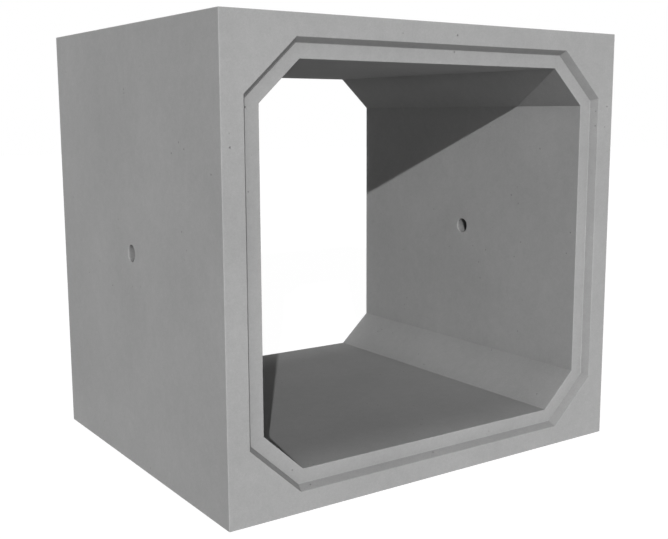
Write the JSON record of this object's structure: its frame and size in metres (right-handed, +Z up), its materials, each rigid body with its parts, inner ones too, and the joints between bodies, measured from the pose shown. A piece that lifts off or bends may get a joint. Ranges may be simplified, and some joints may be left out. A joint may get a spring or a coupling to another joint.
{
  "type": "box culvert unit",
  "caption": "Precast concrete box culvert unit: a rectangular frame with haunched corners, a tapered socket and spigot joint at its ends and a lifting hole through each side wall.",
  "frame": {"origin": "on the underside, at the centre of the unit's overall box", "axes": "+X across the span to the right wall seen from the socket end, +Y from the socket end to the spigot end, +Z up"},
  "size_m": [1.81, 1.53, 1.69],
  "materials": {
    "concrete": "smooth grey fair-faced precast concrete"
  },
  "bodies": {
    "root": {"culvert_unit": "concrete"}
  },
  "joints": []
}
